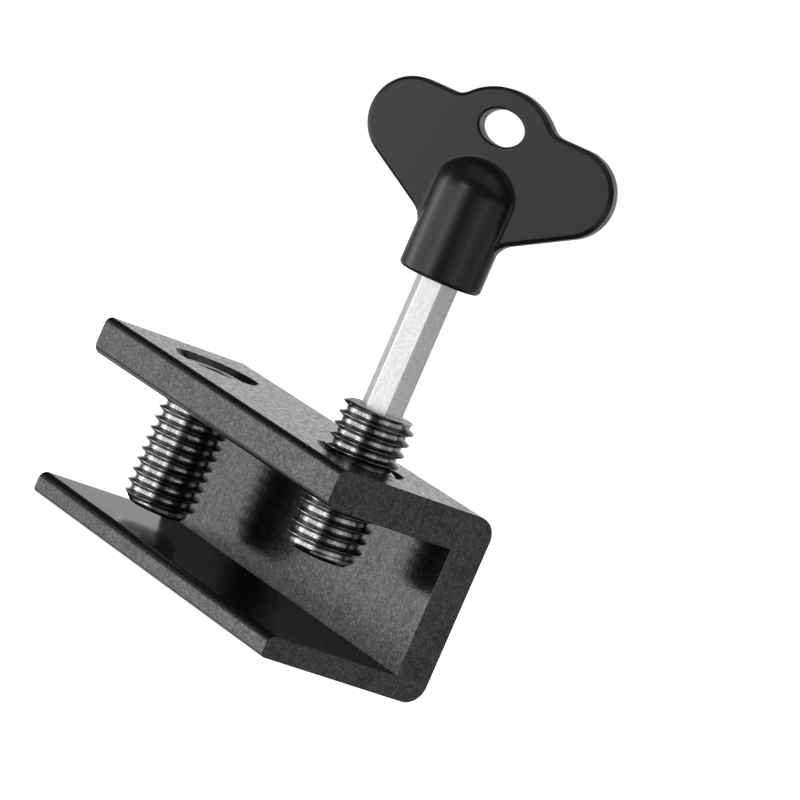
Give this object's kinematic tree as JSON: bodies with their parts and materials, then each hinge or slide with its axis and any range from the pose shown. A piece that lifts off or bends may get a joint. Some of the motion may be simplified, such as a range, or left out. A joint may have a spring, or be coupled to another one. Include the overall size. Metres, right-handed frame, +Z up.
{
  "type": "sliding window lock",
  "caption": "Clamp-on lock for a sliding window: dark C-section channel, socket grub screws driven through its top flange, and a hexagonal key with a winged handle.",
  "frame": {"origin": "middle of the channel's underside", "axes": "+Z up along the screws, X along the channel, -Y out of the channel's open side"},
  "size_m": [0.0665, 0.0263, 0.0762],
  "materials": {
    "anodised_channel": "black anodised over a fine blasted surface, satin",
    "black_screw_steel": "black oxide with a trace of oil",
    "bright_key_steel": "bright drawn steel, faintly mottled",
    "black_handle_plastic": "satin moulded plastic"
  },
  "bodies": {
    "channel": {"lock_channel": "anodised_channel"},
    "near_screw": {"near_grub_screw": "black_screw_steel", "key_shank": "bright_key_steel", "key_handle": "black_handle_plastic"},
    "far_screw": {"far_grub_screw": "black_screw_steel"}
  },
  "joints": [
    {"name": "near_screw_travel", "type": "slide", "parent": "channel", "child": "near_screw", "axis": [0, 0, 1], "range_m": [-0.009, 0.0075]},
    {"name": "far_screw_travel", "type": "slide", "parent": "channel", "child": "far_screw", "axis": [0, 0, 1], "range_m": [-0.0015, 0.015]}
  ]
}
